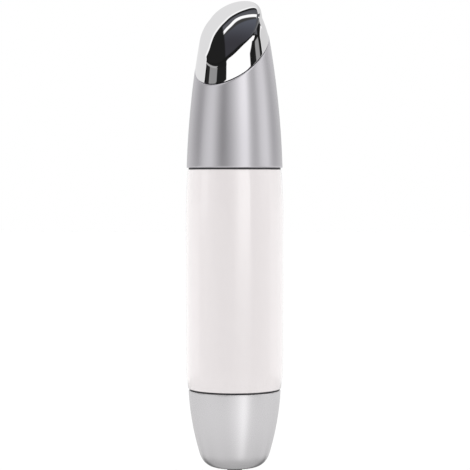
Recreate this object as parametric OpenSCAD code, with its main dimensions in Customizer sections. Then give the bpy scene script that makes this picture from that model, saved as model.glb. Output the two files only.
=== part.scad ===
// Heated massage wand for the eye area: slanted metal head, oblique sleeve,
// plain grip, screw-off tail cap with an end button.
// Millimetres. Origin: centre of the straight grip, on the axis. +Z towards the head,
// -Y towards the viewer, +X to the viewer's right.

/* [Grip] */

// Radius of the straight part of the grip
grip_r = 12.15; // [12.05:0.05:12.30]
// Length of the straight part of the grip
grip_len = 38; // [30:1:38]
// Radius of the bore inside the grip
bore_r = 10.0; // [9.98:0.01:10.2]

/* [Head] */

// Height of the sleeve's oblique rim on the axis
rim_z = 59.9; // [59.0:0.1:60.3]
// Rise of the oblique rim per millimetre across the sleeve
rim_slope = 0.82; // [0.7:0.02:0.88]
// Turn of the rim's low point from the front, to the viewer's left
rim_turn = 32; // [22:1:42]
// Radius of the domed massage face
face_r = 45.0; // [44.8:0.1:45.8]
// Height of the dark gap under the head's shoulder
rim_gap = 0.3; // [0.2:0.05:0.5]

/* [Sleeve] */

// Thickness of the sleeve's wall
sleeve_wall = 0.85; // [0.7:0.05:0.85]

/* [Motor] */

// Radius of the eccentric weight
weight_r = 3.3; // [2.6:0.1:4.0]
// Length of the eccentric weight
weight_len = 4.2; // [3:0.2:5]

/* [Tail] */

// Radius of the button that shows at the tail
button_r = 1.85; // [1.6:0.05:1.85]
// How far the button stands out of the tail
button_out = 1.6; // [1.1:0.1:2.2]

/* [Node] */

// Which sub-part to show

/* [Hidden] */

$fn = 96;
e = 0.01;

// One long arc shapes the sleeve and the head; w is the distance inside it
arc_r = 12.08;
arc_z = 24;
arc_R = 225;
// Centre of the domed face
face_c = [14.6, 27.2, 36.5];
face_turn = 28.2;
face_lean = 48;
// Seams and the tail's underside
seam_hi = 30.5;
seam_lo = -24.3;
tail_z = -44.25;

module tube(ro, ri, z0, z1) {
    difference() {
        translate([0, 0, z0]) cylinder(r = ro, h = z1 - z0);
        translate([0, 0, z0 - 1]) cylinder(r = ri, h = z1 - z0 + 2);
    }
}

module block(x0, x1, y0, y1, z0, z1) {
    translate([x0, y0, z0]) cube([x1 - x0, y1 - y0, z1 - z0]);
}

module rod(x, y, r, z0, z1) {
    translate([x, y, z0]) cylinder(r = r, h = z1 - z0, $fn = 32);
}

// Rod along Y
module rod_y(x, z, r, y0, y1) {
    translate([x, y0, z]) rotate([-90, 0, 0]) cylinder(r = r, h = y1 - y0, $fn = 32);
}

module ogive(w, z0, z1) {
    rotate_extrude() intersection() {
        translate([arc_r - arc_R, arc_z]) circle(r = arc_R - w, $fn = 1440);
        translate([0, z0]) square([16, z1 - z0]);
    }
}

// Everything above the oblique rim plane, lifted by up along the plane's normal
module above_rim(up) {
    translate([0, 0, rim_z]) rotate([0, 0, -90 - rim_turn]) rotate([0, atan(rim_slope), 0])
        translate([-40, -40, up]) cube([80, 80, 60]);
}

module at_face() {
    translate(face_c) rotate([0, 0, -90 - face_turn]) rotate([0, face_lean, 0]) children();
}

module face_ball(d) {
    translate(face_c) sphere(r = face_r - d, $fn = 180);
}

// Disc of a shell under the face: radius r, from depth d0 to depth d1
module face_disc(r, d0, d1) {
    at_face() rotate_extrude() intersection() {
        difference() {
            circle(r = face_r - d0, $fn = 360);
            circle(r = face_r - d1, $fn = 360);
        }
        translate([0, 30]) square([r, 20]);
    }
}

/* ---- head ---- */

module massage_tip() {
    color([0.86, 0.87, 0.89]) difference() {
        intersection() {
            union() {
                difference() {
                    rotate_extrude() intersection() {
                        translate([arc_r - arc_R, arc_z]) circle(r = arc_R - 0.06, $fn = 1440);
                        union() {
                            translate([0, 46.9]) square([13, 21.1]);
                            translate([0, 67]) square([1.4, 7.45]);
                            intersection() {
                                translate([1.4, 68.15]) circle(r = 6.3, $fn = 360);
                                translate([1, 67.5]) square([10, 8]);
                            }
                        }
                    }
                    difference() {
                        translate([0, 0, 40]) cylinder(r = 20, h = 40);
                        above_rim(rim_gap);
                    }
                }
                ogive(sleeve_wall + 0.05, 46.9, 68.5);
            }
            face_ball(0);
        }
        intersection() {
            rotate_extrude() intersection() {
                translate([arc_r - arc_R, arc_z]) circle(r = arc_R - 1.8, $fn = 1440);
                union() {
                    translate([0, 40]) square([13, 27.5]);
                    intersection() {
                        translate([0.9, 67.5]) circle(r = 5.3, $fn = 360);
                        translate([0, 67]) square([10, 8]);
                    }
                    translate([0, 67]) square([1, 5.8]);
                }
            }
            face_ball(1.2);
        }
    }
}

module heater_film() {
    color([0.80, 0.45, 0.12]) face_disc(5, 1.25, 1.45);
}

module heater_pad() {
    color([0.30, 0.30, 0.32]) face_disc(4.4, 1.5, 3.2);
}

module thermistor() {
    color([0.15, 0.25, 0.45]) at_face() {
        translate([0, 0, face_r - 3.95]) sphere(r = 0.7, $fn = 48);
        for (s = [-0.35, 0.35])
            translate([0, s, face_r - 8.4]) cylinder(r = 0.16, h = 4.2, $fn = 24);
    }
}

module tip_carrier() {
    color([0.12, 0.12, 0.13]) difference() {
        union() {
            ogive(sleeve_wall + 0.1, 40.7, 46.8);
            ogive(1.9, 46.7, 49);
        }
        translate([0, 0, 40]) cylinder(r = 8.6, h = 3.4);
        translate([0, 0, 43.3]) cylinder(r = 8.2, h = 8);
    }
}

module upper_sleeve() {
    color([0.72, 0.72, 0.74]) difference() {
        ogive(0, seam_hi + 0.4, 70);
        ogive(sleeve_wall, 28, 72);
        above_rim(0);
    }
}

module upper_seam_ring() {
    color([0.10, 0.10, 0.11]) tube(11.5, 10.7, seam_hi + 0.02, seam_hi + 0.38);
}

/* ---- grip ---- */

module main_barrel() {
    h = grip_len / 2;
    up = seam_hi - h;
    dn = -seam_lo - h;
    // arc radii that end at 11.68 above and 11.60 below
    ru = (up * up + pow(grip_r - 11.68, 2)) / (2 * (grip_r - 11.68));
    rd = (dn * dn + pow(grip_r - 11.60, 2)) / (2 * (grip_r - 11.60));
    color([0.95, 0.94, 0.94]) difference() {
        union() {
            translate([0, 0, -h]) cylinder(r = grip_r, h = 2 * h);
            rotate_extrude() intersection() {
                translate([grip_r - ru, h]) circle(r = ru, $fn = 1440);
                translate([0, h]) square([16, up]);
            }
            rotate_extrude() intersection() {
                translate([grip_r - rd, -h]) circle(r = rd, $fn = 1440);
                translate([0, seam_lo]) square([16, dn]);
            }
            translate([0, 0, seam_hi - 1]) cylinder(r = 10.65, h = 8.5);
        }
        translate([0, 0, seam_lo - 1]) cylinder(r = bore_r, h = 29 - seam_lo);
        translate([0, 0, 20]) cylinder(r = 9.7, h = 20);
    }
}

/* ---- vibration motor ---- */

module motor_can() {
    color([0.75, 0.75, 0.76]) difference() {
        translate([0, 0, 32.5]) cylinder(r = 4, h = 13.7);
        translate([0, 0, 32]) cylinder(r = 3.75, h = 13.8);
        translate([0, 0, 45]) cylinder(r = 1.35, h = 3);
    }
}

module motor_magnet() {
    color([0.25, 0.25, 0.27]) tube(3.7, 2.95, 34, 44);
}

module motor_endcap() {
    color([0.90, 0.88, 0.80]) difference() {
        union() {
            translate([0, 0, 31.3]) cylinder(r = 3.95, h = 1.15);
            translate([0, 0, 32.4]) cylinder(r = 3.7, h = 0.8);
            for (s = [-1, 1]) block(s * 1.5 - 0.6, s * 1.5 + 0.6, 3.1, 3.4, 30.65, 31.4);
        }
        translate([0, 0, 30]) cylinder(r = 0.55, h = 5);
        translate([0, 0, 32.6]) cylinder(r = 2.9, h = 2);
    }
}

module motor_bearing() {
    color([0.62, 0.50, 0.28]) tube(1.3, 0.55, 44.8, 47);
}

module motor_rotor() {
    color([0.70, 0.38, 0.16]) difference() {
        union() {
            translate([0, 0, 35]) cylinder(r = 2.6, h = 8.4);
            translate([0, 0, 33.3]) cylinder(r = 1.1, h = 2);
        }
        translate([0, 0, 30]) cylinder(r = 0.52, h = 20);
        for (a = [0, 120, 240]) rotate([0, 0, a]) {
            translate([1.75, 0, 34.9]) cylinder(r = 0.55, h = 9, $fn = 32);
            block(1.75, 4, -0.2, 0.2, 34.9, 44);
        }
    }
}

module motor_shaft() {
    color([0.80, 0.80, 0.82]) translate([0, 0, 31.6]) cylinder(r = 0.5, h = 21.4);
}

module eccentric_weight() {
    color([0.55, 0.52, 0.45]) difference() {
        union() {
            difference() {
                translate([0, 0, 48.2]) cylinder(r = weight_r, h = weight_len);
                block(-6, 6, 0, 6, 48, 60);
            }
            translate([0, 0, 48.2]) cylinder(r = 1.25, h = weight_len);
        }
        translate([0, 0, 47]) cylinder(r = 0.51, h = 10);
    }
}

module motor_boot() {
    color([0.16, 0.16, 0.17]) difference() {
        union() {
            translate([0, 0, 33]) cylinder(r = 5.1, h = 12.5);
            translate([0, 0, 37.1]) cylinder(r = 6, h = 0.9);
            translate([0, 0, 40.7]) cylinder(r = 6, h = 0.9);
            for (a = [0 : 60 : 300]) rotate([0, 0, a]) rod(5.05, 0, 0.35, 33.2, 36.8);
        }
        translate([0, 0, 32]) cylinder(r = 4.03, h = 15);
    }
}

module motor_bulkhead() {
    color([0.20, 0.20, 0.22]) difference() {
        translate([0, 0, 38.05]) cylinder(r = 10.45, h = 2.6);
        translate([0, 0, 37]) cylinder(r = 5.15, h = 5);
        for (s = [-1, 1]) rod(s * 1.6, 6.6, 0.8, 37, 42);
        for (a = [20, 160, 200, 270, 340]) rotate([0, 0, a]) rod(7.9, 0, 1.1, 37, 42);
    }
}

/* ---- electronics ---- */

module board_carrier() {
    color([0.86, 0.86, 0.84]) difference() {
        union() {
            tube(9.3, 7.4, 14.45, 15.2);
            for (s = [-1, 1]) {
                block(s * 7.7 - 0.8, s * 7.7 + 0.8, 1.0, 3.8, 14.5, 29.2);
                block(s * 6 - 1.5, s * 6 + 1.5, 2.86, 5.4, 25.3, 27.7);
            }
            translate([0, 0, 28.9]) cylinder(r = 9.4, h = 1.3);
        }
        // groove for the board's edges
        block(-7.25, 7.25, 1.96, 2.84, 14, 28.75);
        // screw holes
        for (s = [-1, 1]) rod_y(s * 5.8, 26.5, 0.62, 2, 6);
        // ways for the leads
        for (s = [-1, 1]) {
            rod(s * 1.5, 3.25, 0.75, 28, 31);
            rod(s * 1.6, 6.6, 0.8, 28, 31);
        }
        translate([0, 0, 29.6]) cylinder(r = 4.3, h = 2);
    }
}

module circuit_board() {
    color([0.05, 0.33, 0.16]) difference() {
        block(-7.2, 7.2, 2.0, 2.8, 15.7, 28.7);
        for (s = [-1, 1]) rod_y(s * 5.8, 26.5, 0.72, 1, 4);
    }
}

module controller_chip() {
    color([0.07, 0.07, 0.08]) {
        difference() {
            block(-2.0, 2.0, 0.45, 1.85, 20.9, 25.9);
            rod_y(-1.4, 25.3, 0.25, 0, 0.55);
        }
        for (s = [-1, 1], i = [0 : 3])
            block(s * 2.55 - 0.6, s * 2.55 + 0.6, 1.1, 1.97, 21.3 + i * 1.27, 21.7 + i * 1.27);
    }
}

module boost_coil() {
    color([0.20, 0.19, 0.18]) {
        difference() {
            rod_y(-3.6, 18.2, 2.4, -1.4, 1.96);
            difference() {
                rod_y(-3.6, 18.2, 3.4, -0.9, 1.4);
                rod_y(-3.6, 18.2, 1.9, -1, 1.5);
            }
        }
    }
}

module capacitor() {
    color([0.75, 0.76, 0.78]) {
        rod_y(3.8, 18.3, 2.0, -3.6, 1.4);
        block(1.7, 5.9, 1.3, 1.96, 16.2, 20.4);
    }
}

module transistor() {
    color([0.08, 0.08, 0.09]) {
        block(-1.45, 1.45, 0.9, 1.9, 26.6, 27.9);
        for (x = [-0.95, 0.95]) block(x - 0.2, x + 0.2, 1.5, 1.97, 26.1, 26.7);
        block(-0.2, 0.2, 1.5, 1.97, 27.8, 28.3);
    }
}

module board_resistors() {
    color([0.12, 0.12, 0.13])
        for (p = [[-5.2, 22.2], [-5.2, 23.9], [5.2, 22.2], [5.2, 23.9], [0, 18.6], [0, 19.8]])
            block(p[0] - 0.8, p[0] + 0.8, 1.5, 1.97, p[1] - 0.4, p[1] + 0.4);
}

module board_screws() {
    color([0.70, 0.70, 0.72]) for (s = [-1, 1]) difference() {
        union() {
            rod_y(s * 5.8, 26.5, 1.0, 1.05, 1.97);
            rod_y(s * 5.8, 26.5, 0.6, 1.9, 5.2);
        }
        block(s * 5.8 - 0.75, s * 5.8 + 0.75, 0.9, 1.35, 26.37, 26.63);
        block(s * 5.8 - 0.13, s * 5.8 + 0.13, 0.9, 1.35, 25.75, 27.25);
    }
}

module motor_leads() {
    color([0.75, 0.10, 0.08]) for (s = [-1, 1]) rod(s * 1.5, 3.25, 0.4, 27.2, 30.6);
}

module heater_leads() {
    color([0.85, 0.83, 0.78]) for (s = [-1, 1]) {
        rod_y(s * 1.6, 24, 0.42, 2.83, 6.6);
        translate([s * 1.6, 6.6, 24]) sphere(r = 0.52, $fn = 32);
        rod(s * 1.6, 6.6, 0.42, 24, 57);
        translate([s * 1.6, 6.6, 57]) sphere(r = 0.52, $fn = 32);
        translate([s * 1.6, 6.6, 57]) rotate([34.4, 0, 0]) cylinder(r = 0.42, h = 8.8, $fn = 32);
    }
}

/* ---- cell and its contacts ---- */

module positive_contact() {
    color([0.80, 0.62, 0.25]) {
        translate([0, 0, 12.66]) cylinder(r = 3.2, h = 0.3);
        block(-1, 1, 1.62, 1.92, 12.7, 17.4);
    }
}

module cell_holder() {
    color([0.82, 0.82, 0.80]) difference() {
        union() {
            translate([0, 0, -31]) cylinder(r = 6.15, h = 45);
            translate([0, 0, 13]) cylinder(r = 9.7, h = 1.4);
        }
        translate([0, 0, -32]) cylinder(r = 5.4, h = 45);
        block(-1.15, 1.15, 1.5, 2.04, 12, 15);
        block(-1.35, 1.35, 6.25, 6.75, 12, 15);
    }
}

module return_strip() {
    color([0.80, 0.62, 0.25]) {
        block(-1.2, 1.2, 6.3, 6.6, -22, 15.6);
        block(-1.2, 1.2, 2.85, 6.6, 15.3, 15.6);
        block(-1.2, 1.2, 2.85, 3.1, 15.3, 18);
        block(-1.2, 1.2, 6.5, 7.85, -18, -17.7);
    }
}

module battery_can() {
    color([0.78, 0.78, 0.80]) {
        translate([0, 0, -31.9]) cylinder(r = 5.1, h = 43.5);
        translate([0, 0, 11.5]) cylinder(r = 1.9, h = 1.1);
    }
}

module battery_wrap() {
    color([0.10, 0.12, 0.15]) tube(5.25, 5.12, -31.6, 11.4);
}

module thread_ring() {
    color([0.72, 0.70, 0.66]) difference() {
        union() {
            translate([0, 0, seam_lo + 0.05]) cylinder(r = 9.95, h = 7.8);
            translate([0, 0, -32.4]) cylinder(r = 9.2, h = 8.3);
        }
        difference() {
            translate([0, 0, -31.4]) cylinder(r = 12, h = 5.2);
            translate([0, 0, -32]) cylinder(r = 8.8, h = 7);
        }
        translate([0, 0, -33]) cylinder(r = 6.3, h = 20);
        translate([0, 0, -23]) cylinder(r = 7.95, h = 10);
    }
}

/* ---- tail ---- */

module tail_seal_ring() {
    color([0.10, 0.10, 0.11]) tube(11.3, 9.25, seam_lo - 0.35, seam_lo - 0.05);
}

module tail_cap() {
    color([0.78, 0.78, 0.79]) difference() {
        rotate_extrude() intersection() {
            translate([11.65 - 68, -21]) circle(r = 68, $fn = 1440);
            polygon([[0, -24.7], [13, -24.7], [13, -41.4], [8.5, -41.4], [8.22, -41.95],
                     [7.9, -42.45], [7.5, -42.9], [7.0, -43.3], [6.4, -43.7], [5.7, -43.98],
                     [4.8, -44.13], [3.7, -44.21], [2.6, tail_z], [0, tail_z]]);
        }
        translate([0, 0, -33.2]) cylinder(r = 9.27, h = 20);
        translate([0, 0, -37]) cylinder(r = 7.6, h = 10);
        translate([0, 0, -39.75]) cylinder(r = 6.5, h = 10);
        translate([0, 0, -43]) cylinder(r = 3.6, h = 10);
        translate([0, 0, -46]) cylinder(r = 1.95, h = 10);
    }
}

module ring_stack(radii, z0, pitch, wire) {
    for (i = [0 : len(radii) - 1])
        translate([0, 0, z0 + i * pitch]) rotate_extrude() translate([radii[i], 0]) circle(r = wire, $fn = 24);
}

module tail_spring() {
    color([0.82, 0.82, 0.84]) ring_stack([3.7, 3.4, 3.1, 2.8, 2.5, 2.2], -34.8, 0.48, 0.33);
}

module switch_retainer() {
    color([0.80, 0.64, 0.30]) difference() {
        tube(7.5, 4.6, -35.4, -34.3);
        for (a = [0, 180]) rotate([0, 0, a]) rod(6.1, 0, 0.7, -36, -34);
    }
}

module switch_contact() {
    color([0.82, 0.66, 0.32]) translate([0, 0, -35.45]) cylinder(r = 4.4, h = 0.28);
}

module switch_body() {
    color([0.09, 0.09, 0.10]) difference() {
        union() {
            translate([0, 0, -39.6]) cylinder(r = 6.4, h = 3.4);
            translate([0, 0, -36.4]) cylinder(r = 7.4, h = 0.9);
        }
        translate([0, 0, -40]) cylinder(r = 1.05, h = 3.4);
    }
}

module switch_plunger() {
    color([0.92, 0.92, 0.90]) translate([0, 0, -42.05]) cylinder(r = 0.95, h = 3.6);
}

module button_spring() {
    color([0.82, 0.82, 0.84]) ring_stack([1.75, 1.75, 1.75, 1.75, 1.75], -41.6, 0.4, 0.25);
}

module tail_button() {
    color([0.36, 0.36, 0.37]) {
        translate([0, 0, -42.85]) cylinder(r = 3.3, h = 0.75);
        rotate_extrude() intersection() {
            translate([0, tail_z - button_out + 5]) circle(r = 5, $fn = 360);
            translate([0, -48]) square([button_r, 5.3]);
        }
        translate([0, 0, tail_z - button_out + 0.8]) cylinder(r = button_r, h = button_out + 1);
    }
}

massage_tip();
heater_film();
heater_pad();
thermistor();
tip_carrier();
upper_sleeve();
upper_seam_ring();
main_barrel();
motor_can();
motor_magnet();
motor_endcap();
motor_bearing();
motor_rotor();
motor_shaft();
eccentric_weight();
motor_boot();
motor_bulkhead();
board_carrier();
circuit_board();
controller_chip();
boost_coil();
capacitor();
transistor();
board_resistors();
board_screws();
positive_contact();
cell_holder();
return_strip();
battery_can();
battery_wrap();
motor_leads();
heater_leads();
thread_ring();
tail_seal_ring();
tail_cap();
tail_spring();
switch_retainer();
switch_contact();
switch_body();
switch_plunger();
button_spring();
tail_button();
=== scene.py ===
import math

import bpy
import numpy as np
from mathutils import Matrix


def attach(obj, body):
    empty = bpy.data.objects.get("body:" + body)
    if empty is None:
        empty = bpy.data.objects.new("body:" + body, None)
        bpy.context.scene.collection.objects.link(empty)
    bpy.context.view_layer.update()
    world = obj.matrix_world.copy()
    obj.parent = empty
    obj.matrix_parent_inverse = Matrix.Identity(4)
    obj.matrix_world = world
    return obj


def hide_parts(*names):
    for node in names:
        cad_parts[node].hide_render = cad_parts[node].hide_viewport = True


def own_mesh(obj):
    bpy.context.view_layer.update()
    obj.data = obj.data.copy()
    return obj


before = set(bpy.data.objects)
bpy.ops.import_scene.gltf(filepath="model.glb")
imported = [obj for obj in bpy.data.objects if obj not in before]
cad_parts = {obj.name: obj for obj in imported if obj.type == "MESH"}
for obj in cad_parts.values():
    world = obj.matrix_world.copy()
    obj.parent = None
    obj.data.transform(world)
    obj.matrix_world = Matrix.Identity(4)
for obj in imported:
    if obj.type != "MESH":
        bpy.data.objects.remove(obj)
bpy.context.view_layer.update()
MM = 0.001
TAU = 2 * math.pi
scene = bpy.context.scene

# ------------------------------------------------------------------ numbers shared with the CAD, in mm
ARC_R, ARC_Z, ARC_BIG = 12.08, 24.0, 225.0
RIM_Z, RIM_SLOPE, RIM_TURN, RIM_GAP = 59.8, 0.84, math.radians(32), 0.16
FACE_C, FACE_R = np.array([14.6, 27.2, 36.5]), 45.0
WALL = 0.85
GRIP_R, GRIP_H = 12.15, 19.0
SEAM_HI, SEAM_LO = 30.5, -24.3


def ogive_r(z, w=0.0):
    """Radius of the long arc at height z, w millimetres inside it."""
    return ARC_R - ARC_BIG + np.sqrt((ARC_BIG - w) ** 2 - (np.asarray(z, float) - ARC_Z) ** 2)


def rim_height(th, r, up=0.0):
    """Height of the oblique rim plane at azimuth th (0 towards -Y, positive to +X) and radius r."""
    return RIM_Z + up - RIM_SLOPE * r * np.cos(th + RIM_TURN)


# ------------------------------------------------------------------ mesh helpers
def mesh_object(name, verts_mm, faces, smooth=True):
    me = bpy.data.meshes.new(name)
    me.from_pydata((np.asarray(verts_mm, float) * MM).tolist(), [], faces)
    me.validate()
    me.update()
    if smooth:
        me.polygons.foreach_set("use_smooth", [True] * len(me.polygons))
    ob = bpy.data.objects.new(name, me)
    scene.collection.objects.link(ob)
    return ob


def grid_faces(rows, cols, close_rows=False, start=0):
    f = []
    last = rows if close_rows else rows - 1
    for i in range(last):
        a = start + i * cols
        b = start + ((i + 1) % rows) * cols
        for j in range(cols):
            k = (j + 1) % cols
            f.append((a + j, a + k, b + k, b + j))
    return f


def round_poly(points, closed=True):
    """points: (r, z, fillet) -> dense list of (r, z) with arcs at the filleted corners."""
    out = []
    n = len(points)
    for i, p in enumerate(points):
        r, z = p[0], p[1]
        f = p[2] if len(p) > 2 else 0
        if not f or (not closed and i in (0, n - 1)):
            out.append((r, z))
            continue
        a = np.array(points[i - 1][:2], float)
        c = np.array([r, z], float)
        b = np.array(points[(i + 1) % n][:2], float)
        u, v = a - c, b - c
        lu, lv = np.linalg.norm(u), np.linalg.norm(v)
        u, v = u / lu, v / lv
        ang = math.acos(max(-1, min(1, float(u @ v))))
        if ang > math.pi - 0.02:
            out.append((r, z))
            continue
        d = min(f / math.tan(ang / 2), 0.48 * lu, 0.48 * lv)
        f = d * math.tan(ang / 2)
        centre = c + (u + v) / np.linalg.norm(u + v) * (f / math.sin(ang / 2))
        p0, p1 = c + u * d, c + v * d
        a0 = math.atan2(*(p0 - centre)[::-1])
        a1 = math.atan2(*(p1 - centre)[::-1])
        da = (a1 - a0 + math.pi) % TAU - math.pi
        steps = max(3, int(abs(da) / 0.22))
        for k in range(steps + 1):
            t = a0 + da * k / steps
            out.append((float(centre[0] + f * math.cos(t)), float(centre[1] + f * math.sin(t))))
    return out


def lathe(name, profile, seg=192, closed=True, bend=None):
    """Revolves a (r, z) outline, closed or from axis to axis. bend(th, r, z) may return new (r, z)."""
    th = np.linspace(0, TAU, seg, endpoint=False)
    s, c = np.sin(th), -np.cos(th)
    verts, faces, ring_at = [], [], []
    for r, z in profile:
        if r <= 1e-6:
            ring_at.append((len(verts), 1))
            verts.append((0.0, 0.0, z))
        else:
            ring_at.append((len(verts), seg))
            rr, zz = np.full(seg, r), np.full(seg, z)
            if bend is not None:
                rr, zz = bend(th, rr, zz)
            verts += list(zip(rr * s, rr * c, zz))
    m = len(profile)
    for i in range(m if closed else m - 1):
        (a, na), (b, nb) = ring_at[i], ring_at[(i + 1) % m]
        for j in range(seg):
            k = (j + 1) % seg
            if na == 1 and nb == 1:
                continue
            if na == 1:
                faces.append((a, b + k, b + j))
            elif nb == 1:
                faces.append((a + j, a + k, b))
            else:
                faces.append((a + j, a + k, b + k, b + j))
    return mesh_object(name, verts, faces)


def tube_along(name, points, radius, sides=12, closed_ends=True):
    """A round tube through points in mm."""
    p = np.asarray(points, float)
    t = np.gradient(p, axis=0)
    t /= np.linalg.norm(t, axis=1)[:, None]
    up = np.array([0.0, 0.0, 1.0]) if abs(t[0][2]) < 0.9 else np.array([1.0, 0.0, 0.0])
    verts = []
    n = np.cross(t[0], up)
    n /= np.linalg.norm(n)
    rad = np.broadcast_to(np.asarray(radius, float), (len(p),))
    for i in range(len(p)):
        n = n - t[i] * (n @ t[i])
        n /= np.linalg.norm(n)
        b = np.cross(t[i], n)
        for k in range(sides):
            a = TAU * k / sides
            verts.append(p[i] + rad[i] * (n * math.cos(a) + b * math.sin(a)))
    faces = grid_faces(len(p), sides)
    if closed_ends:
        faces.append(tuple(reversed(range(sides))))
        faces.append(tuple((len(p) - 1) * sides + k for k in range(sides)))
    return mesh_object(name, verts, faces)


def sharpen(ob, degrees=35):
    """Splits the shading at hard edges, and makes the faces look outwards."""
    import bmesh
    bm = bmesh.new()
    bm.from_mesh(ob.data)
    bmesh.ops.recalc_face_normals(bm, faces=bm.faces)
    lim = math.radians(degrees)
    for ed in bm.edges:
        if len(ed.link_faces) == 2:
            ed.smooth = ed.calc_face_angle(0.0) < lim
    bm.to_mesh(ob.data)
    bm.free()
    return ob


# ------------------------------------------------------------------ material helpers
def new_mat(name):
    m = bpy.data.materials.new(name)
    m.use_nodes = True
    nt = m.node_tree
    nt.nodes.clear()
    out = nt.nodes.new("ShaderNodeOutputMaterial")
    b = nt.nodes.new("ShaderNodeBsdfPrincipled")
    nt.links.new(b.outputs[0], out.inputs[0])
    return m, nt, b


def coords(nt, scale=(1, 1, 1), rot=(0, 0, 0)):
    tc = nt.nodes.new("ShaderNodeTexCoord")
    mp = nt.nodes.new("ShaderNodeMapping")
    mp.inputs["Scale"].default_value = scale
    mp.inputs["Rotation"].default_value = rot
    nt.links.new(tc.outputs["Object"], mp.inputs["Vector"])
    return mp.outputs[0]


def noise(nt, vec, scale, detail=3, rough=0.5, dist=0.0):
    n = nt.nodes.new("ShaderNodeTexNoise")
    n.inputs["Scale"].default_value = scale
    n.inputs["Detail"].default_value = detail
    n.inputs["Roughness"].default_value = rough
    n.inputs["Distortion"].default_value = dist
    nt.links.new(vec, n.inputs["Vector"])
    return n.outputs["Fac"]


def ramp(nt, fac, stops, kind="LINEAR"):
    r = nt.nodes.new("ShaderNodeValToRGB")
    r.color_ramp.interpolation = kind
    el = r.color_ramp.elements
    while len(el) < len(stops):
        el.new(0.5)
    for e_, (p, c) in zip(el, stops):
        e_.position = p
        e_.color = (c[0], c[1], c[2], 1) if not isinstance(c, (int, float)) else (c, c, c, 1)
    nt.links.new(fac, r.inputs[0])
    return r.outputs[0]


def bump(nt, b, height, strength, distance):
    bn = nt.nodes.new("ShaderNodeBump")
    bn.inputs["Strength"].default_value = strength
    bn.inputs["Distance"].default_value = distance
    nt.links.new(height, bn.inputs["Height"])
    nt.links.new(bn.outputs[0], b.inputs["Normal"])


def mix_val(nt, a, b_, fac):
    m = nt.nodes.new("ShaderNodeMix")
    m.data_type = "FLOAT"
    m.inputs[0].default_value = fac
    nt.links.new(a, m.inputs[2])
    nt.links.new(b_, m.inputs[3])
    return m.outputs[0]


def map_range(nt, v, lo, hi, a=0.0, b=1.0):
    m = nt.nodes.new("ShaderNodeMapRange")
    m.inputs[1].default_value = a
    m.inputs[2].default_value = b
    m.inputs[3].default_value = lo
    m.inputs[4].default_value = hi
    nt.links.new(v, m.inputs[0])
    return m.outputs[0]


def metal(name, tint, rough, vary=0.04, grain=(1, 1, 1), grain_scale=900, bump_mm=0.002, coat=0.0, coat_rough=0.1,
          tint2=None, aniso=0.0, strength=0.25):
    m, nt, b = new_mat(name)
    v = coords(nt, grain)
    fine = noise(nt, v, grain_scale, 4, 0.6)
    broad = noise(nt, coords(nt), 60, 2, 0.5)
    t2 = tint2 or tuple(c * 0.95 for c in tint)
    nt.links.new(ramp(nt, mix_val(nt, fine, broad, 0.5), [(0.3, t2), (0.7, tint)]), b.inputs["Base Color"])
    b.inputs["Metallic"].default_value = 1.0
    nt.links.new(map_range(nt, mix_val(nt, fine, broad, 0.35), max(0.0, rough - vary), rough + vary, 0.3, 0.7),
                 b.inputs["Roughness"])
    b.inputs["Anisotropic"].default_value = aniso
    b.inputs["Coat Weight"].default_value = coat
    b.inputs["Coat Roughness"].default_value = coat_rough
    bump(nt, b, fine, strength, bump_mm * MM)
    return m


def plastic(name, tint, rough, vary=0.05, grain_scale=1500, bump_mm=0.006, strength=0.4, coat=0.0, tint2=None, sss=0.0,
            spec=0.5, coat_rough=0.05):
    m, nt, b = new_mat(name)
    v = coords(nt)
    fine = noise(nt, v, grain_scale, 3, 0.55)
    broad = noise(nt, v, 90, 3, 0.5)
    t2 = tint2 or tuple(c * 0.93 for c in tint)
    nt.links.new(ramp(nt, mix_val(nt, fine, broad, 0.6), [(0.3, t2), (0.7, tint)]), b.inputs["Base Color"])
    nt.links.new(map_range(nt, mix_val(nt, fine, broad, 0.4), max(0.0, rough - vary), rough + vary, 0.3, 0.7),
                 b.inputs["Roughness"])
    b.inputs["Specular IOR Level"].default_value = spec
    b.inputs["Coat Weight"].default_value = coat
    b.inputs["Coat Roughness"].default_value = coat_rough
    if sss:
        b.inputs["Subsurface Weight"].default_value = sss
        b.inputs["Subsurface Radius"].default_value = (0.6, 0.5, 0.45)
        b.inputs["Subsurface Scale"].default_value = 0.0012
    bump(nt, b, fine, strength, bump_mm * MM)
    return m


def paint(ob, mat):
    ob.data.materials.clear()
    ob.data.materials.append(mat)
    return ob


def node_material(node, mat):
    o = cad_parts[node]
    if len(o.material_slots) == 0:
        o.data.materials.append(mat)
    for s in o.material_slots:
        s.material = mat


# ------------------------------------------------------------------ materials
CHROME = metal("mirror_chrome", (0.905, 0.90, 0.91), 0.001, 0.001, (1, 1, 1), 2600, 0.0004, tint2=(0.89, 0.885, 0.895),
               strength=0.04)
SATIN = metal("satin_silver", (0.79, 0.772, 0.81), 0.215, 0.012, (1, 1, 0.05), 5200, 0.0012, tint2=(0.775, 0.757, 0.795),
              strength=0.04)
SATIN_TAIL = metal("satin_silver_tail", (0.885, 0.87, 0.886), 0.27, 0.008, (1, 1, 0.3), 4200, 0.001,
                   tint2=(0.879, 0.864, 0.88), strength=0.008)
WHITE = plastic("gloss_white", (0.812, 0.769, 0.771), 0.16, 0.02, 500, 0.003, 0.06, coat=0.9,
                tint2=(0.806, 0.763, 0.765), coat_rough=0.1)
GASKET = plastic("dark_gasket", (0.05, 0.05, 0.055), 0.55, 0.06, 2200, 0.01, 0.4, tint2=(0.03, 0.03, 0.033))
BUTTON = plastic("dark_button", (0.13, 0.13, 0.134), 0.48, 0.05, 2600, 0.012, 0.45, tint2=(0.10, 0.10, 0.105))
BLACK = plastic("black_plastic", (0.035, 0.035, 0.038), 0.45, 0.06, 1600, 0.02, 0.5, tint2=(0.025, 0.025, 0.028))
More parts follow.
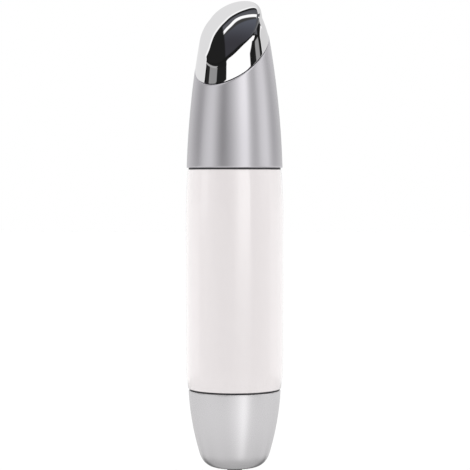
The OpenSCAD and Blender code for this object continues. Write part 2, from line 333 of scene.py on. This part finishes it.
IVORY = plastic("ivory_plastic", (0.72, 0.71, 0.66), 0.42, 0.06, 1500, 0.015, 0.4, tint2=(0.66, 0.65, 0.60), sss=0.05)
NYLON = plastic("nylon", (0.80, 0.79, 0.74), 0.38, 0.05, 1200, 0.01, 0.3, sss=0.1)
FOAM = plastic("grey_foam", (0.14, 0.14, 0.15), 0.8, 0.05, 2400, 0.05, 0.9, tint2=(0.08, 0.08, 0.085))
FILM = plastic("amber_film", (0.62, 0.26, 0.04), 0.22, 0.04, 600, 0.004, 0.2, coat=0.4, tint2=(0.45, 0.17, 0.02))
SENSOR = plastic("sensor_glass", (0.05, 0.11, 0.28), 0.15, 0.03, 900, 0.004, 0.2, coat=0.6)
STEEL = metal("bright_steel", (0.76, 0.76, 0.78), 0.22, 0.05, (1, 1, 0.15), 1800, 0.004)
FERRITE = plastic("ferrite", (0.06, 0.058, 0.06), 0.6, 0.08, 1900, 0.03, 0.7, tint2=(0.035, 0.034, 0.036))
BRONZE = metal("bronze", (0.55, 0.36, 0.15), 0.4, 0.06, (1, 1, 1), 2400, 0.01)
COPPER = metal("copper_winding", (0.78, 0.33, 0.13), 0.3, 0.05, (1, 1, 12), 700, 0.03, tint2=(0.45, 0.16, 0.05), strength=0.8)
TUNGSTEN = metal("tungsten", (0.42, 0.40, 0.37), 0.48, 0.07, (1, 1, 1), 2300, 0.02, strength=0.5)
BRASS = metal("spring_brass", (0.83, 0.60, 0.25), 0.25, 0.06, (1, 1, 0.2), 1600, 0.004)
CELLCAN = metal("cell_can", (0.74, 0.73, 0.70), 0.2, 0.04, (1, 1, 0.2), 1500, 0.003)
CELLFILM = plastic("cell_film", (0.03, 0.04, 0.06), 0.25, 0.04, 500, 0.004, 0.2, coat=0.5)
RED = plastic("lead_red", (0.50, 0.03, 0.02), 0.35, 0.05, 900, 0.01, 0.3)
LEADWHITE = plastic("lead_white", (0.70, 0.68, 0.62), 0.38, 0.05, 900, 0.01, 0.3)
NICKEL = metal("nickel_ring", (0.70, 0.66, 0.60), 0.24, 0.05, (1, 1, 14), 500, 0.006, strength=0.3)
CHIP = plastic("chip_black", (0.022, 0.022, 0.024), 0.5, 0.08, 2600, 0.02, 0.6, tint2=(0.014, 0.014, 0.016))
CAPCAN = metal("capacitor_can", (0.80, 0.80, 0.82), 0.25, 0.05, (1, 12, 1), 900, 0.004)


def board_material():
    m, nt, b = new_mat("board_green")
    v = coords(nt)
    br = nt.nodes.new("ShaderNodeTexBrick")
    br.inputs["Scale"].default_value = 420
    br.inputs["Mortar Size"].default_value = 0.08
    br.inputs["Color1"].default_value = (0.010, 0.085, 0.035, 1)
    br.inputs["Color2"].default_value = (0.014, 0.11, 0.045, 1)
    br.inputs["Mortar"].default_value = (0.02, 0.17, 0.07, 1)
    mp = coords(nt, (1, 1, 1), (math.pi / 2, 0, 0))
    nt.links.new(mp, br.inputs["Vector"])
    nt.links.new(br.outputs[0], b.inputs["Base Color"])
    nt.links.new(map_range(nt, noise(nt, v, 800, 3), 0.22, 0.38, 0.3, 0.7), b.inputs["Roughness"])
    b.inputs["Coat Weight"].default_value = 0.3
    bump(nt, b, br.outputs["Fac"], 0.5, 0.00002)
    return m


BOARD = board_material()

for node_, mat_ in {
    "heater_film": FILM, "heater_pad": FOAM, "thermistor": SENSOR, "tip_carrier": BLACK,
    "motor_can": STEEL, "motor_magnet": FERRITE, "motor_endcap": IVORY, "motor_bearing": BRONZE,
    "motor_rotor": COPPER, "motor_shaft": STEEL, "eccentric_weight": TUNGSTEN, "motor_boot": FOAM,
    "motor_bulkhead": BLACK, "board_carrier": IVORY, "circuit_board": BOARD, "controller_chip": CHIP,
    "boost_coil": FERRITE, "capacitor": CAPCAN, "transistor": CHIP, "board_resistors": CHIP,
    "board_screws": STEEL, "positive_contact": BRASS, "cell_holder": IVORY, "return_strip": BRASS,
    "battery_can": CELLCAN, "battery_wrap": CELLFILM, "motor_leads": RED, "heater_leads": LEADWHITE,
    "thread_ring": NICKEL, "switch_retainer": BRASS, "switch_contact": BRASS, "switch_body": BLACK,
    "switch_plunger": NYLON,
}.items():
    node_material(node_, mat_)


# ------------------------------------------------------------------ chrome head
def smax(a, b, k):
    h = np.clip(0.5 - 0.5 * (b - a) / k, 0, 1)
    return b * (1 - h) + a * h + k * h * (1 - h)


def head_field(p, shrink=0.0, soft_back=1.2, soft_front=0.25):
    r = np.hypot(p[..., 0], p[..., 1])
    z = p[..., 2]
    side = np.hypot(r + ARC_BIG - ARC_R, z - ARC_Z) - (ARC_BIG - 0.06 - shrink)
    rc = np.maximum(r - 1.15, 0)
    dome = np.where(z > 68.25, np.hypot(rc, z - 68.25), rc - (68.25 - z) * 0.6) - (6.15 - shrink)
    a = smax(side, dome, 2.3)
    face = np.linalg.norm(p - FACE_C, axis=-1) - (FACE_R - shrink)
    s = -p[..., 0] * math.sin(RIM_TURN) - p[..., 1] * math.cos(RIM_TURN)
    t = np.clip((s + 7.0) / 10.0, 0, 1)
    t = t * t * (3 - 2 * t)
    return smax(a, face, soft_back * (1 - t) + soft_front * t)


def head_rays(th, el, shrink):
    """Surface points seen from a centre on the axis."""
    o = np.array([0.0, 0.0, 60.0])
    d = np.stack([np.sin(th) * np.cos(el), -np.cos(th) * np.cos(el), np.sin(el)], -1)
    lo, hi = np.zeros(d.shape[:-1]), np.full(d.shape[:-1], 22.0)
    for _ in range(42):
        m = (lo + hi) / 2
        inside = head_field(o + d * m[..., None], shrink) < 0
        lo = np.where(inside, m, lo)
        hi = np.where(inside, hi, m)
    return o + d * ((lo + hi) / 2)[..., None]


def head_shell():
    nt_, na = 360, 150
    th = np.linspace(0, TAU, nt_, endpoint=False)
    lift = RIM_GAP * math.sqrt(1 + RIM_SLOPE ** 2)
    rows = []

    def ring_on_plane(w, up):
        z = np.full(nt_, RIM_Z)
        for _ in range(40):
            z = 0.5 * z + 0.5 * rim_height(th, ogive_r(z, w), up)
        r = ogive_r(z, w)
        return r, z

    def push(r, z):
        rows.append(np.stack([r * np.sin(th), -r * np.cos(th), z], -1))

    # inside of the skirt, its foot, and its outside up to the shoulder
    skirt_o, skirt_i = WALL + 0.05, 1.8
    r_sh, z_sh = ring_on_plane(skirt_o, lift)
    for zz in np.linspace(0, 1, 5)[::-1]:
        z = 47.0 + (z_sh - 2.4 - 47.0) * zz
        push(ogive_r(z, skirt_i), z)
    push(np.full(nt_, float(ogive_r(46.9, skirt_i)) + 0.1), np.full(nt_, 46.9))
    push(np.full(nt_, float(ogive_r(46.9, skirt_o)) - 0.1), np.full(nt_, 46.9))
    for zz in np.linspace(0, 1, 8):
        z = 47.0 + (z_sh - 47.0) * zz
        push(ogive_r(z, skirt_o), z)
    # shoulder with a small round edge
    for w, up in ((0.75, lift), (0.40, lift), (0.17, lift + 0.015), (0.08, lift + 0.07)):
        push(*ring_on_plane(w, up))
    r_e, z_e = ring_on_plane(0.065, lift + 0.16)
    el0 = np.arctan2(z_e - 60.0, r_e)
    for i in range(na):
        t = i / na
        el = el0 + (math.pi / 2 - el0) * t
        q = head_rays(th, el, 0.0)
        rows.append(q)
    verts = np.concatenate(rows)
    top = head_rays(np.zeros(1), np.full(1, math.pi / 2), 0.0)
    n_rows = len(rows)
    faces = grid_faces(n_rows, nt_)
    last = (n_rows - 1) * nt_
    apex = len(verts)
    faces += [(last + j, last + (j + 1) % nt_, apex) for j in range(nt_)]
    verts = np.concatenate([verts, top])
    # inside of the head
    inner = []
    r_i, z_i = ring_on_plane(1.8, lift - 1.2)
    el1 = np.arctan2(z_i - 60.0, r_i)
    for i in range(24):
        el = el1 + (math.pi / 2 - el1) * i / 24
        inner.append(head_rays(th, el, 1.74))
    base = len(verts)
    verts = np.concatenate([verts] + inner + [head_rays(np.zeros(1), np.full(1, math.pi / 2), 1.74)])
    faces += [tuple(reversed(f)) for f in grid_faces(24, nt_, start=base)]
    last = base + 23 * nt_
    apex = len(verts) - 1
    faces += [(last + (j + 1) % nt_, last + j, apex) for j in range(nt_)]
    for j in range(nt_):
        k = (j + 1) % nt_
        faces.append((j, base + j, base + k, k))
    return mesh_object("head_shell", verts, faces)


head = sharpen(head_shell(), 50)
paint(head, CHROME)
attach(head, "barrel")
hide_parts("massage_tip")


# ------------------------------------------------------------------ silver sleeve
def sleeve():
    seg = 288
    th = np.linspace(0, TAU, seg, endpoint=False)
    rows = []

    def plane_ring(w, up):
        z = np.full(seg, RIM_Z)
        for _ in range(40):
            z = 0.5 * z + 0.5 * rim_height(th, ogive_r(z, w), up)
        return ogive_r(z, w), z

    def push(r, z):
        rows.append(np.stack([r * np.sin(th), -r * np.cos(th), z], -1))

    z0 = SEAM_HI + 0.4
    full = np.ones(seg)
    for dr, dz in ((0.18, 0.0), (0.10, 0.018), (0.045, 0.05), (0.012, 0.11), (0.0, 0.18)):
        push((float(ogive_r(z0 + dz)) - dr) * full, (z0 + dz) * full)
    r_t, z_t = plane_ring(0.0, -0.28)
    for t in np.linspace(0, 1, 70)[1:]:
        z = z0 + 0.18 + (z_t - z0 - 0.18) * t
        push(ogive_r(z), z)
    for w, up in ((0.015, -0.16), (0.05, -0.09), (0.10, -0.04), (0.17, -0.008), (0.24, 0.0), (0.50, 0.0), (0.78, 0.0),
                  (0.83, -0.03), (WALL, -0.1)):
        push(*plane_ring(w, up))
    r_t, z_t = plane_ring(WALL, -0.1)
    for t in np.linspace(1, 0, 12)[1:]:
        z = z0 + 0.1 + (z_t - z0 - 0.1) * t
        push(ogive_r(z, WALL), z)
    push((float(ogive_r(z0, WALL)) + 0.08) * full, z0 * full)
    return mesh_object("sleeve_shell", np.concatenate(rows), grid_faces(len(rows), seg, close_rows=True))


sl = sharpen(sleeve(), 40)
paint(sl, SATIN)
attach(sl, "barrel")
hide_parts("upper_sleeve")


# ------------------------------------------------------------------ white grip
def arc_profile(r_a, z_a, r_b, z_b, n=18):
    """Arc that leaves (r_a, z_a) straight up or down and ends at (r_b, z_b)."""
    h, d = abs(z_b - z_a), r_a - r_b
    big = (h * h + d * d) / (2 * d)
    out = []
    for t in np.linspace(0, 1, n):
        dz = h * t
        out.append((r_a - big + math.sqrt(big * big - dz * dz), z_a + math.copysign(dz, z_b - z_a)))
    return out


up_arc = arc_profile(GRIP_R, GRIP_H, 11.68, SEAM_HI)
dn_arc = arc_profile(GRIP_R, -GRIP_H, 11.60, SEAM_LO)
body = [(p[0], p[1]) for p in dn_arc[::-1]] + [(GRIP_R, z) for z in np.linspace(-GRIP_H, GRIP_H, 24)[1:-1]] + \
       [(p[0], p[1]) for p in up_arc]
body[0] = (body[0][0], body[0][1], 0.22)
body[-1] = (body[-1][0], body[-1][1], 0.22)
outline = body + [(10.65, SEAM_HI, 0.05), (10.65, 38.0, 0.25), (9.7, 38.0, 0.15), (9.7, 29.0), (10.0, 29.0 - 0.3),
                  (10.0, SEAM_LO, 0.15)]
bar = sharpen(lathe("grip_shell", round_poly(outline), 256), 40)
paint(bar, WHITE)
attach(bar, "barrel")
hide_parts("main_barrel")

# ------------------------------------------------------------------ dark gaskets
g1 = sharpen(lathe("upper_gasket", round_poly([(11.5, SEAM_HI + 0.02, 0.12), (11.5, SEAM_HI + 0.38, 0.12),
                                             (10.7, SEAM_HI + 0.38), (10.7, SEAM_HI + 0.02)]), 192), 40)
paint(g1, GASKET)
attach(g1, "barrel")
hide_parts("upper_seam_ring")
g2 = sharpen(lathe("tail_gasket", round_poly([(11.3, SEAM_LO - 0.35, 0.12), (11.3, SEAM_LO - 0.05, 0.12),
                                            (9.25, SEAM_LO - 0.05), (9.25, SEAM_LO - 0.35)]), 192), 40)
paint(g2, GASKET)
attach(g2, "cap_seal")
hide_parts("tail_seal_ring")


# ------------------------------------------------------------------ silver tail cap
def tail_r(z):
    return 11.65 - 68 + math.sqrt(68 ** 2 - (z + 21) ** 2)


side = [(tail_r(z), z) for z in np.linspace(-24.7, -40.6, 26)]
side[0] = (side[0][0], side[0][1], 0.24)
bottom = [(8.48, -41.4), (8.2, -41.95), (7.88, -42.45), (7.48, -42.9), (6.98, -43.3), (6.38, -43.68), (5.7, -43.94),
          (4.8, -44.1), (3.7, -44.18), (2.9, -44.2)]
# soft curve through the shoulder: average each point with its neighbours on a dense resample
pts = np.array([(p[0], p[1]) for p in side[18:]] + bottom)
tt = np.concatenate([[0], np.cumsum(np.linalg.norm(np.diff(pts, axis=0), axis=1))])
u = np.linspace(0, tt[-1], 46)
dense = np.stack([np.interp(u, tt, pts[:, 0]), np.interp(u, tt, pts[:, 1])], -1)
for _ in range(5):
    dense[1:-1] = dense[1:-1] * 0.5 + (dense[:-2] + dense[2:]) * 0.25
cap_outline = side[:18] + [tuple(p) for p in dense] + \
    [(1.95, -44.22, 0.22), (1.95, -43.0, 0.05), (3.6, -43.0, 0.2), (3.6, -39.75), (6.5, -39.75, 0.2), (6.5, -37.0, 0.1),
     (7.6, -37.0, 0.15), (7.6, -33.2), (9.27, -33.2, 0.15), (9.27, -24.7, 0.25)]
cap = sharpen(lathe("tail_shell", round_poly(cap_outline), 256), 40)
paint(cap, SATIN_TAIL)
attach(cap, "tail_cap")
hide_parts("tail_cap")

# ------------------------------------------------------------------ tail button
nub = sharpen(lathe("button_cap", round_poly([(0, -45.84), (0.7, -45.79), (1.25, -45.68), (1.85, -45.45, 0.3),
                                             (1.85, -42.85, 0.1), (3.3, -42.85, 0.15), (3.3, -42.1, 0.15), (0, -42.1)],
                                            closed=False), 96, closed=False), 40)
paint(nub, BUTTON)
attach(nub, "button")
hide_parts("tail_button")


# ------------------------------------------------------------------ wound springs
def helix(r0, r1, z0, z1, turns, flat=0.8, per=28):
    n = int(turns * per)
    t = np.linspace(0, 1, n)
    a = TAU * turns * t
    # closed end turns, open middle
    lift = np.clip((t * turns - flat) / (turns - 2 * flat), 0, 1)
    lift = lift * lift * (3 - 2 * lift) * 0.35 + lift * 0.65
    r = r0 + (r1 - r0) * t
    return np.stack([r * np.cos(a), r * np.sin(a), z0 + (z1 - z0) * lift], -1)


sp = sharpen(tube_along("cell_spring", helix(3.72, 2.2, -34.82, -32.4, 4.6), 0.31), 50)
paint(sp, STEEL)
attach(sp, "tail_cap")
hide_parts("tail_spring")
bs = sharpen(tube_along("return_spring", helix(1.75, 1.75, -41.62, -39.98, 4.2), 0.22), 50)
paint(bs, STEEL)
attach(bs, "tail_cap")
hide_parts("button_spring")
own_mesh(bs)


# ------------------------------------------------------------------ thread ridge on the metal spigot
def thread():
    turns, pitch, z0 = 2.3, 2.0, -31.1
    n = int(turns * 96)
    t = np.linspace(0, 1, n)
    a = -TAU * turns * t
    z = z0 + pitch * turns * t
    fade = np.clip(np.minimum(t, 1 - t) * turns * 6, 0, 1)
    prof = [(-0.1, -0.62), (0.22, -0.28), (0.32, -0.14), (0.34, 0.0), (0.32, 0.14), (0.22, 0.28), (-0.1, 0.62)]
    verts = []
    for i in range(n):
        for dr, dz in prof:
            r = 8.8 + (dr * fade[i] if dr > 0 else dr)
            verts.append((r * math.cos(a[i]), r * math.sin(a[i]), z[i] + dz * (0.3 + 0.7 * fade[i])))
    m = len(prof)
    faces = []
    for i in range(n - 1):
        for j in range(m):
            k = (j + 1) % m
            faces.append((i * m + j, i * m + k, (i + 1) * m + k, (i + 1) * m + j))
    faces.append(tuple(range(m)))
    faces.append(tuple((n - 1) * m + j for j in reversed(range(m))))
    return mesh_object("spigot_thread", verts, faces)


th_ = sharpen(thread(), 50)
paint(th_, NICKEL)
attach(th_, "barrel")

# ------------------------------------------------------------------ floor
FLOOR_Z = -53.2 * MM


def floor():
    n = 48
    xs = np.linspace(-2.2, 2.2, n)
    ys = np.linspace(-2.2, 2.2, n)
    verts = [(x * 1000, y * 1000, FLOOR_Z * 1000) for y in ys for x in xs]
    faces = []
    for i in range(n - 1):
        for j in range(n - 1):
            a = i * n + j
            faces.append((a, a + 1, a + n + 1, a + n))
    return mesh_object("studio_floor", verts, faces)


fl = floor()
m_, nt_, b_ = new_mat("studio_floor")
nt_.links.new(ramp(nt_, noise(nt_, coords(nt_), 6, 2), [(0.3, (0.955, 0.955, 0.955)), (0.7, (0.97, 0.97, 0.97))]),
              b_.inputs["Base Color"])
b_.inputs["Roughness"].default_value = 0.7
fl.visible_glossy = False
paint(fl, m_)

# ------------------------------------------------------------------ camera: a long lens level with the sleeve's foot
cam_d = bpy.data.cameras.new("cam")
cam = bpy.data.objects.new("cam", cam_d)
scene.collection.objects.link(cam)
scene.camera = cam
DIST = 0.450
cam.location = (0.0, -DIST, 0.0288)
cam_d.sensor_width = 36.0
cam_d.lens = 36.0 * DIST / (470 * 0.25 * MM)
cam_d.shift_x = 0.4 / 470
cam_d.clip_start, cam_d.clip_end = 0.01, 20
aim = (58.5 - 44.4) * MM
cam.rotation_euler = (math.pi / 2 + math.atan2(aim - 0.0288, DIST), 0, 0)


# ------------------------------------------------------------------ studio: light by direction
def studio():
    w = bpy.data.worlds.new("studio")
    scene.world = w
    w.use_nodes = True
    nt = w.node_tree
    nt.nodes.clear()
    out = nt.nodes.new("ShaderNodeOutputWorld")
    bg = nt.nodes.new("ShaderNodeBackground")
    nt.links.new(bg.outputs[0], out.inputs[0])
    tc = nt.nodes.new("ShaderNodeTexCoord")
    sep = nt.nodes.new("ShaderNodeSeparateXYZ")
    nt.links.new(tc.outputs["Generated"], sep.inputs[0])
    X, Y, Z = sep.outputs

    def M(op, a, b=None, c=None):
        nd = nt.nodes.new("ShaderNodeMath")
        nd.operation = op
        for i, v in enumerate((a, b, c)):
            if v is None:
                continue
            if isinstance(v, (int, float)):
                nd.inputs[i].default_value = v
            else:
                nt.links.new(v, nd.inputs[i])
        return nd.outputs[0]

    az = M("ARCTAN2", X, M("MULTIPLY", Y, -1.0))
    el = M("ARCSINE", Z)
    azn = M("MULTIPLY_ADD", az, 1 / TAU, 0.5)

    def colour(v):
        return (*v, 1) if isinstance(v, tuple) else (v, v, v, 1)

    def bands(stops, fac=None, lo=-180.0, hi=180.0):
        r = nt.nodes.new("ShaderNodeValToRGB")
        els = r.color_ramp.elements
        while len(els) < len(stops):
            els.new(0.5)
        for e_, (d, v) in zip(els, stops):
            e_.position = (d - lo) / (hi - lo)
            e_.color = colour(v)
        nt.links.new(azn if fac is None else fac, r.inputs[0])
        return r.outputs[0]

    def over(base, top, fac):
        m = nt.nodes.new("ShaderNodeMix")
        m.data_type = "RGBA"
        nt.links.new(fac, m.inputs[0])
        for s, v in ((6, base), (7, top)):
            if isinstance(v, (tuple, float, int)):
                m.inputs[s].default_value = colour(v)
            else:
                nt.links.new(v, m.inputs[s])
        return m.outputs[2]

    def step(v, at, soft):
        m = nt.nodes.new("ShaderNodeMapRange")
        m.interpolation_type = "SMOOTHSTEP"
        m.inputs[1].default_value = at - soft
        m.inputs[2].default_value = at + soft
        nt.links.new(v, m.inputs[0])
        return m.outputs[0]

    def curve(v, points, handle="VECTOR"):
        """A line through (x, y) points, both from -1 to 1."""
        m = nt.nodes.new("ShaderNodeFloatCurve")
        c = m.mapping.curves[0]
        while len(c.points) < len(points):
            c.points.new(0.5, 0.5)
        for pt, (x, y) in zip(c.points, points):
            pt.location = ((x + 1) / 2, (y + 1) / 2)
            pt.handle_type = handle
        m.mapping.update()
        nt.links.new(M("MULTIPLY_ADD", v, 0.5, 0.5), m.inputs["Value"])
        return M("MULTIPLY_ADD", m.outputs[0], 2.0, -1.0)

    deg = math.radians
    # upright panels round the room, as the mirror-polished head sees them
    wall = bands([(-180, 0.85), (-96, 0.85), (-95, 0.022), (-78.5, 0.022), (-77.5, 0.31), (-53.5, 0.30), (-52, 0.016),
                  (-24.0, 0.016), (-23.0, 1.12), (30, 1.15), (48.5, 1.12), (50.5, 0.02), (70.0, 0.02), (71.4, 0.34),
                  (86.3, 0.34), (87.8, 0.014), (99.5, 0.014), (101, 0.76), (180, 0.80)])
    west = M("MULTIPLY", az, -1.0)
    wall = over(wall, 0.014, M("MULTIPLY", step(el, deg(21), deg(1)), step(west, deg(25), deg(1))))
    slant = M("SUBTRACT", el, M("MULTIPLY_ADD", az, 0.17, deg(19.7 - 0.17 * 71)))
    wall = over(wall, 0.014, M("MULTIPLY", step(slant, 0.0, deg(0.4)), step(az, deg(49.5), deg(1))))
    top = M("MULTIPLY_ADD", M("MAXIMUM", M("SUBTRACT", az, deg(66.6)), 0.0), 0.306,
            M("MULTIPLY_ADD", az, 0.081, deg(20.3 - 0.081 * 51.8)))
    wall = over(wall, 1.12, M("MULTIPLY", step(M("SUBTRACT", el, top), 0.0, deg(0.25)),
                              M("MULTIPLY", step(az, deg(45), deg(1)), step(M("MULTIPLY", az, -1.0), deg(-75.5), deg(0.8)))))
    lean = M("ADD", X, M("MULTIPLY_ADD", M("MULTIPLY_ADD", Y, -0.894, -0.782), Y, 0.376))
    wall = over(wall, 1.12, M("MULTIPLY", step(lean, 0.0, 0.01),
                              M("MULTIPLY", step(el, deg(17), deg(1)), step(west, deg(-20), deg(1)))))
    # dark ceiling: near-black flap, slate panel with one thin lamp, black edge
    b0 = curve(X, [(-1, 0.16), (-0.97, 0.084), (-0.93, 0.03), (-0.827, -0.033), (-0.76, -0.04), (-0.70, -0.03),
                   (-0.647, 0.021), (-0.596, 0.102), (-0.548, 0.174), (-0.504, 0.223), (-0.467, 0.258), (-0.427, 0.289),
                   (-0.387, 0.321), (-0.354, 0.335), (-0.314, 0.345), (-0.276, 0.346), (-0.24, 0.342), (-0.22, 0.323),
                   (-0.205, 0.27), (-0.10, 0.17), (0.0, 0.11), (0.246, 0.135), (0.40, 0.16), (0.478, 0.18),
                   (0.60, 0.30), (0.70, 0.45), (0.754, 0.509), (0.80, 0.435), (0.851, 0.328), (0.883, 0.246),
                   (0.909, 0.175), (0.925, 0.14), (0.95, 0.131), (1, 0.12)], "AUTO")
    bu = curve(X, [(-1, -0.02), (-0.81, -0.03), (-0.76, -0.277), (-0.686, -0.40), (-0.62, -0.38), (-0.573, -0.36),
                   (-0.507, -0.35), (-0.438, -0.316), (-0.385, -0.30), (-0.322, -0.347), (-0.234, -0.432),
                   (-0.151, -0.49), (-0.033, -0.556), (0.079, -0.591), (0.175, -0.598), (0.371, -0.602),
                   (0.543, -0.557), (0.674, -0.479), (0.841, -0.317), (0.865, -0.265), (0.90, -0.13), (0.93, 0.02),
                   (1, 0.05)])
    bu_soft = M("MULTIPLY_ADD", step(X, 0.83, 0.04), -0.115, 0.143)
    width = M("MULTIPLY_ADD", X, 1.6, 1.784)
    s = M("DIVIDE", M("SUBTRACT", b0, Y), width)
    slate = over((0.046, 0.045, 0.053), (0.120, 0.131, 0.160), step(M("ADD", X, M("MULTIPLY", Y, 0.8)), -0.31, 0.28))
    bow = curve(X, [(-1, 0), (-0.49, 0.001), (-0.455, 0.007), (-0.43, 0.01), (-0.406, 0.014), (-0.39, 0.019),
                    (-0.37, 0.024), (-0.34, 0.0245), (-0.326, 0.021), (-0.313, 0.017), (-0.30, 0.013), (-0.285, 0.01),
                    (-0.27, 0.005), (-0.255, 0), (-0.24, -0.006), (-0.22, -0.01), (0, -0.01), (1, -0.01)])
    s_l = M("MULTIPLY_ADD", bow, step(s, 0.045, 0.02), s)
    lamp = bands([(0.0, 0.012), (0.020, 0.014), (0.036, (0.10, 0.102, 0.115)), (0.078, (0.115, 0.117, 0.13)),
                  (0.086, (0.03, 0.03, 0.035)), (0.095, 1.12), (0.126, 1.12), (0.136, 0.055), (0.18, 0.05), (0.2, 0.05)],
                 fac=M("MULTIPLY", s_l, 5.0), lo=0.0, hi=0.2)
    roof = over(lamp, slate, step(s, 0.157, 0.012))
    flap = M("ADD", X, M("MULTIPLY_ADD", Y, -0.238, 0.5235))
    roof = over(0.016, roof, step(flap, 0.0, 0.006))
    brow = over((0.096, 0.10, 0.112), 0.21, M("MULTIPLY", step(X, 0.6, 0.12), step(M("MULTIPLY", X, -1.0), -0.80, 0.03)))
    brim = M("MINIMUM", M("MAXIMUM", M("MULTIPLY_ADD", X, 2.2, -2.2 * 0.79), 0.02), 0.2)
    brow = over(0.012, brow, step(M("SUBTRACT", M("SUBTRACT", b0, Y), brim), 0.0, 0.02))
    roof = over(roof, brow, step(X, -0.215, 0.008))
    roof = over(0.012, roof, step(M("SUBTRACT", M("SUBTRACT", Y, bu), bu_soft), 0.0, 0.012))
    up = over(wall, roof, step(M("SUBTRACT", Y, bu), 0.0, 0.01))
    edge = M("MULTIPLY", M("MULTIPLY", step(el, deg(20.5), deg(1)), step(M("MULTIPLY", el, -1.0), deg(-29), deg(1.5))),
             M("MULTIPLY", step(west, deg(56), deg(1)), step(az, deg(-95), deg(1))))
    up = over(up, 0.42, edge)
    out_ = M("SUBTRACT", Y, b0)
    rim_glow = over(1.05, bands([(-180, 0.82), (-60, 0.79), (60, 0.70), (180, 0.73)]), step(out_, 0.024, 0.008))
    up = over(up, rim_glow, step(out_, 0.0, 0.004))
    # softer panels, as the satin sleeve, the grip and the satin tail see them
    mid_hi = bands([(-180, 0.70), (-138, 0.66), (-120, 0.54), (-110, 0.47), (-101, 0.43), (-92, 0.45), (-84, 0.56),
                    (-73, 0.68), (-62, 0.74), (-54, 0.70), (-45, 0.55), (-34, 0.36), (-27, 0.33), (-20, 0.42), (-8, 0.58),
                    (8, 0.84), (17, 1.04), (31, 1.12), (39, 0.71), (48, 0.51), (58, 0.52), (68, 0.74), (86, 0.82),
                    (99, 0.62), (112, 0.50), (126, 0.60), (138, 0.72), (180, 0.72)])
    mid_lo = bands([(-180, 0.66), (-138, 0.62), (-120, 0.50), (-110, 0.42), (-100, 0.36), (-92, 0.41), (-84, 0.60),
                    (-73, 0.70), (-62, 0.76), (-54, 0.70), (-45, 0.52), (-34, 0.30), (-27, 0.27), (-20, 0.33), (-8, 0.47),
                    (8, 0.69), (17, 0.87), (31, 0.97), (39, 0.63), (48, 0.49), (58, 0.53), (68, 0.76), (86, 0.84),
                    (99, 0.58), (112, 0.44), (126, 0.50), (145, 0.60), (180, 0.64)])
    mid = over(mid_lo, mid_hi, step(el, deg(9.9), deg(5.5)))
    grip = bands([(-180, 0.75), (-138, 0.65), (-106, 0.60), (-83, 0.75), (-64, 0.75), (-47, 0.55), (-30, 0.45),
                  (-14, 0.50), (1, 0.75), (12, 1.0), (24, 1.1), (36, 1.0), (42, 0.55), (60, 0.5), (86, 0.75), (110, 0.6),
                  (180, 0.75)])
    grip_low = bands([(-180, 0.75), (-60, 0.65), (-30, 0.55), (-14, 0.55), (1, 0.65), (24, 0.85), (38, 0.7), (44, 0.55),
                      (60, 0.55), (86, 0.75), (180, 0.75)])
    grip = over(grip_low, grip, step(el, deg(-3.0), deg(4.0)))
    low = bands([(-180, 0.66), (-120, 0.70), (-60, 0.75), (-20, 0.76), (4, 0.88), (16, 1.04), (24, 1.17), (31, 1.06),
                 (42, 0.78), (60, 0.74), (100, 0.72), (180, 0.66)])
    down = M("MULTIPLY", el, -1.0)
    behind = M("ABSOLUTE", az)
    low = over(low, 0.50, step(down, deg(43), deg(24)))
    low = over(low, 0.45, M("MULTIPLY", step(down, deg(34), deg(10)), step(behind, deg(85), deg(30))))
    low = over(low, 0.14, M("MULTIPLY", M("MULTIPLY", step(down, deg(22), deg(4)), step(el, deg(-42), deg(8))),
                            step(behind, deg(135), deg(20))))
    col = over(low, grip, step(el, deg(-9.5), deg(1.5)))
    col = over(col, mid, step(el, deg(0.9), deg(0.5)))
    # only a mirror sees the crisp panels
    lp = nt.nodes.new("ShaderNodeLightPath")
    col = over(col, up, lp.outputs["Is Singular Ray"])
    # the camera sees a white sweep, and matt surfaces get even light from all round
    even = M("MULTIPLY_ADD", M("MULTIPLY_ADD", Y, -0.733, 0.10), Y, 1.402)
    col = over(col, even, lp.outputs["Is Diffuse Ray"])
    col = over(col, 1.0, lp.outputs["Is Camera Ray"])
    nt.links.new(col, bg.inputs[0])
    bg.inputs[1].default_value = 1.0


studio()


# ------------------------------------------------------------------ soft boxes that only the white grip reflects
def soft_box(name, az_lo, az_hi, el_lo, el_hi, radiance, dist=0.8):
    az, el = math.radians((az_lo + az_hi) / 2), math.radians((el_lo + el_hi) / 2)
    wide = 2 * dist * math.tan(math.radians((az_hi - az_lo) / 2))
    tall = 2 * dist * math.tan(math.radians((el_hi - el_lo) / 2))
    d = bpy.data.lights.new(name, "AREA")
    d.shape = "RECTANGLE"
    d.size, d.size_y = wide, tall
    d.energy = radiance * wide * tall * math.pi
    ob = bpy.data.objects.new(name, d)
    scene.collection.objects.link(ob)
    ob.location = (dist * math.sin(az) * math.cos(el), -dist * math.cos(az) * math.cos(el), 0.024 + dist * math.sin(el))
    ob.rotation_euler = (math.pi / 2 - el, 0, az)
    ob.visible_camera = False
    ob.visible_diffuse = False
    ob.visible_shadow = False
    ob.light_linking.receiver_collection = only_grip
    return ob


only_grip = bpy.data.collections.new("only_grip")
only_grip.objects.link(bar)
soft_box("box_front", 9, 37, -3.3, 16, 0.8)
soft_box("box_front_low", 1, 37, -5.6, 16, 0.5)
soft_box("box_front_wide", -9, 37, -1, 16, 0.15)
soft_box("box_left", -88, -66, -1.5, 16, 0.6)
soft_box("box_far_left", -165, -92, -14, 14, 0.45)
soft_box("box_far_right", 92, 165, -14, 14, 0.35)
scene.view_settings.view_transform = "Standard"
scene.view_settings.look = "None"
